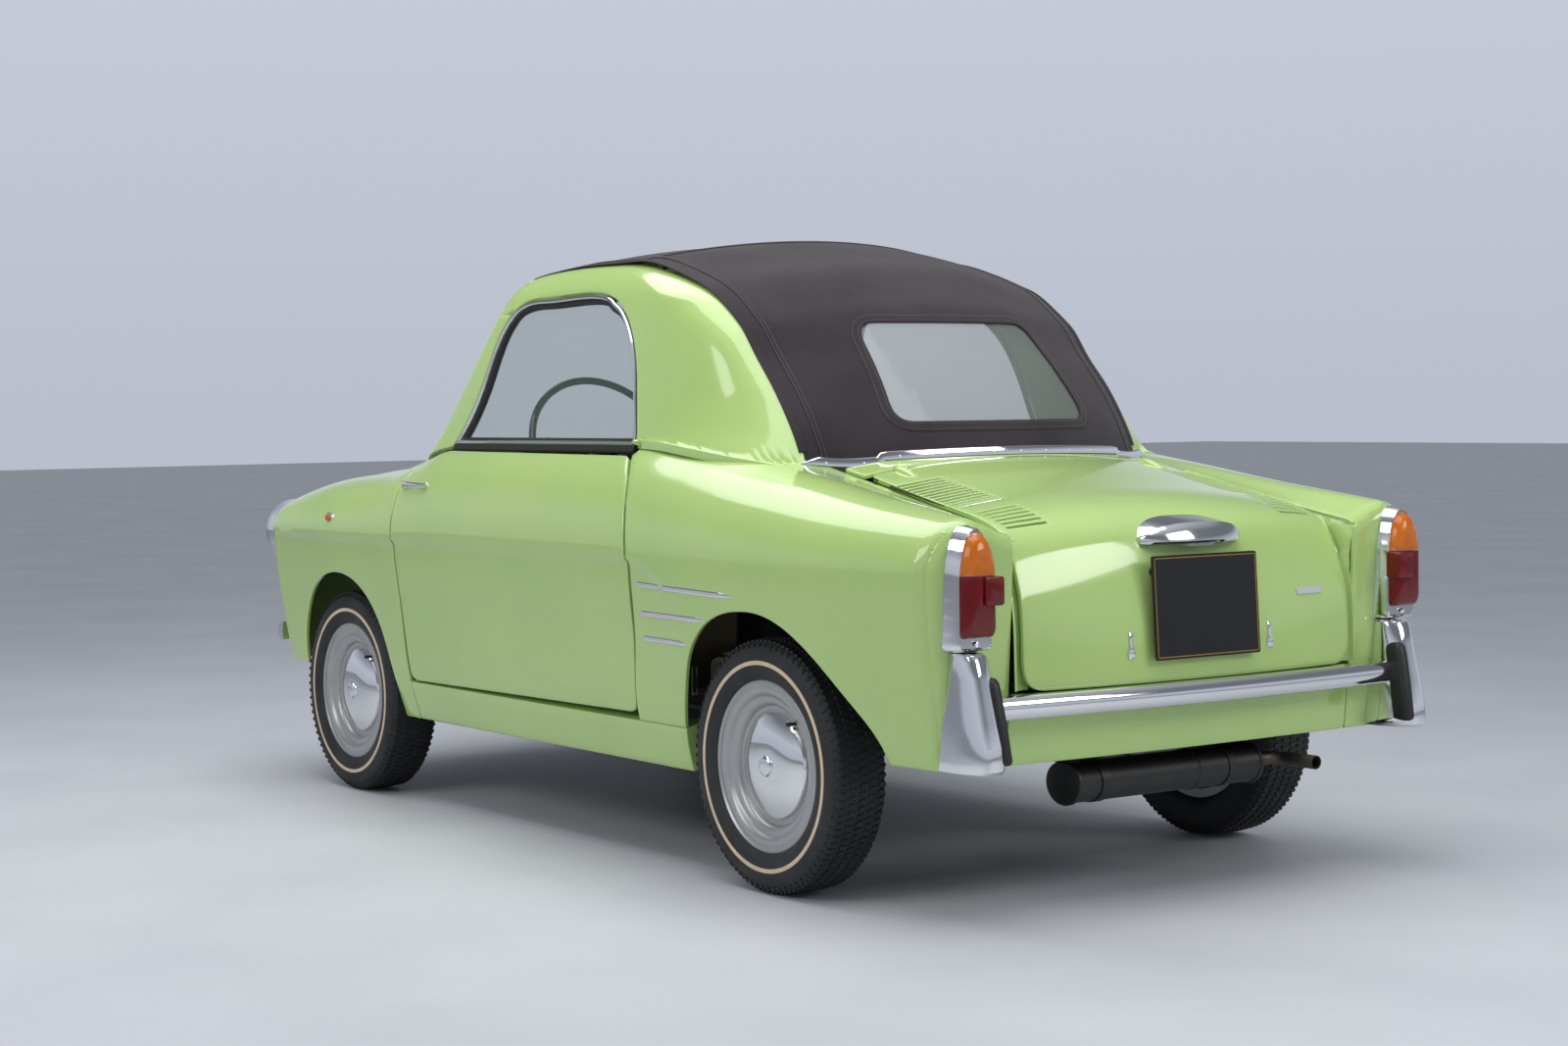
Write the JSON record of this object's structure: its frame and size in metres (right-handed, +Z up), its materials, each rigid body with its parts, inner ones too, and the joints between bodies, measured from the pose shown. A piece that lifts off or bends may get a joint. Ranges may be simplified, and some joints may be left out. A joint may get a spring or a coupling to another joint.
{
  "type": "microcar",
  "caption": "Small open-top car with a folding fabric roof, hinged doors, front luggage lid and rear engine lid, a turning steering wheel, and wheels that roll and steer.",
  "frame": {"origin": "on the floor, half way along the car and on its centreline", "axes": "+X towards the rear of the car, +Y towards the car's right, +Z up"},
  "size_m": [3.0199, 1.3402, 1.3228],
  "materials": {
    "body_paint": "gloss pistachio green enamel",
    "inner_paint": "same green, satin",
    "fabric": "matt waterproof canvas, dark aubergine brown",
    "clear_sheet": "clear soft sheet",
    "glass": "clear",
    "chrome": "polished",
    "rim_paint": "silver-grey enamel, chrome cap",
    "tyre": "black rubber",
    "black_plastic": "gloss black",
    "seat_cloth": "woven cloth and leathercloth",
    "iron": "dull",
    "steel": "dull",
    "chassis_black": "satin black",
    "amber": "translucent amber",
    "red": "translucent dark red",
    "lamp_chrome": "polished rim with clear lens"
  },
  "bodies": {
    "car_body": {"front_shell": "body_paint", "nose_panel": "body_paint", "sill_left": "body_paint", "sill_right": "body_paint", "rear_shell": "body_paint", "tail_panel": "body_paint", "deck_panel": "body_paint", "rear_valance": "body_paint", "windscreen_frame": "body_paint", "cabin_side_left": "body_paint", "cabin_side_right": "body_paint", "fabric_roof": "fabric", "rear_window": "clear_sheet", "windscreen": "glass", "tail_lamp_bezels": "chrome", "rear_bumper": "chrome", "front_bumper": "chrome", "roof_trim": "chrome", "headlamps": "lamp_chrome", "luggage_tub": "inner_paint", "floor_pan": "inner_paint", "dashboard": "inner_paint", "front_seats": "seat_cloth", "rear_bench": "seat_cloth", "engine_block": "iron", "exhaust": "steel", "front_spring": "chassis_black", "rear_axle": "chassis_black", "tail_lamp_amber": "amber", "tail_lamp_red": "red"},
    "bonnet": {"bonnet": "body_paint"},
    "door_left": {"door_left": "body_paint", "window_frame_left": "chrome", "door_glass_left": "glass"},
    "door_right": {"door_right": "body_paint", "window_frame_right": "chrome", "door_glass_right": "glass"},
    "engine_lid": {"engine_lid": "body_paint", "plate_lamp": "chrome"},
    "steering_wheel": {"steering_wheel": "black_plastic"},
    "knuckle_left": {"knuckle_left": "chassis_black"},
    "knuckle_right": {"knuckle_right": "chassis_black"},
    "wheel_front_left": {"tyre_front_left": "tyre", "rim_front_left": "rim_paint"},
    "wheel_front_right": {"tyre_front_right": "tyre", "rim_front_right": "rim_paint"},
    "wheel_rear_left": {"tyre_rear_left": "tyre", "rim_rear_left": "rim_paint"},
    "wheel_rear_right": {"tyre_rear_right": "tyre", "rim_rear_right": "rim_paint"}
  },
  "joints": [
    {"name": "steer_left", "type": "hinge", "parent": "car_body", "child": "knuckle_left", "pos_m": [-0.967, -0.5, 0.25], "axis": [0, 0, 1], "range_deg": [-30, 30]},
    {"name": "steer_right", "type": "hinge", "parent": "car_body", "child": "knuckle_right", "pos_m": [-0.967, 0.5, 0.25], "axis": [0, 0, 1], "range_deg": [-30, 30]},
    {"name": "wheel_front_left_spin", "type": "hinge", "parent": "knuckle_left", "child": "wheel_front_left", "pos_m": [-0.967, -0.5605, 0.25], "axis": [0, 1, 0], "continuous": true},
    {"name": "wheel_front_right_spin", "type": "hinge", "parent": "knuckle_right", "child": "wheel_front_right", "pos_m": [-0.967, 0.5605, 0.25], "axis": [0, 1, 0], "continuous": true},
    {"name": "wheel_rear_left_spin", "type": "hinge", "parent": "car_body", "child": "wheel_rear_left", "pos_m": [0.873, -0.5675, 0.25], "axis": [0, 1, 0], "continuous": true},
    {"name": "wheel_rear_right_spin", "type": "hinge", "parent": "car_body", "child": "wheel_rear_right", "pos_m": [0.873, 0.5675, 0.25], "axis": [0, 1, 0], "continuous": true},
    {"name": "steering_wheel_turn", "type": "hinge", "parent": "car_body", "child": "steering_wheel", "pos_m": [-0.257, -0.29, 0.845], "axis": [0.891, 0, 0.454], "range_deg": [-360, 360]},
    {"name": "door_left_hinge", "type": "hinge", "parent": "car_body", "child": "door_left", "pos_m": [0.44, -0.668, 0.6], "axis": [0, 0, 1], "range_deg": [0, 65]},
    {"name": "door_right_hinge", "type": "hinge", "parent": "car_body", "child": "door_right", "pos_m": [0.44, 0.668, 0.6], "axis": [0, 0, -1], "range_deg": [0, 65]},
    {"name": "bonnet_hinge", "type": "hinge", "parent": "car_body", "child": "bonnet", "pos_m": [-1.399, 0, 0.735], "axis": [0, -1, 0], "range_deg": [0, 60]},
    {"name": "engine_lid_hinge", "type": "hinge", "parent": "car_body", "child": "engine_lid", "pos_m": [0.925, 0, 0.842], "axis": [0, -1, 0], "range_deg": [0, 60]}
  ],
  "couplings": [
    {"joint": "steer_right", "follows": "steer_left", "ratio": 1},
    {"joint": "steering_wheel_turn", "follows": "steer_left", "ratio": 12}
  ]
}
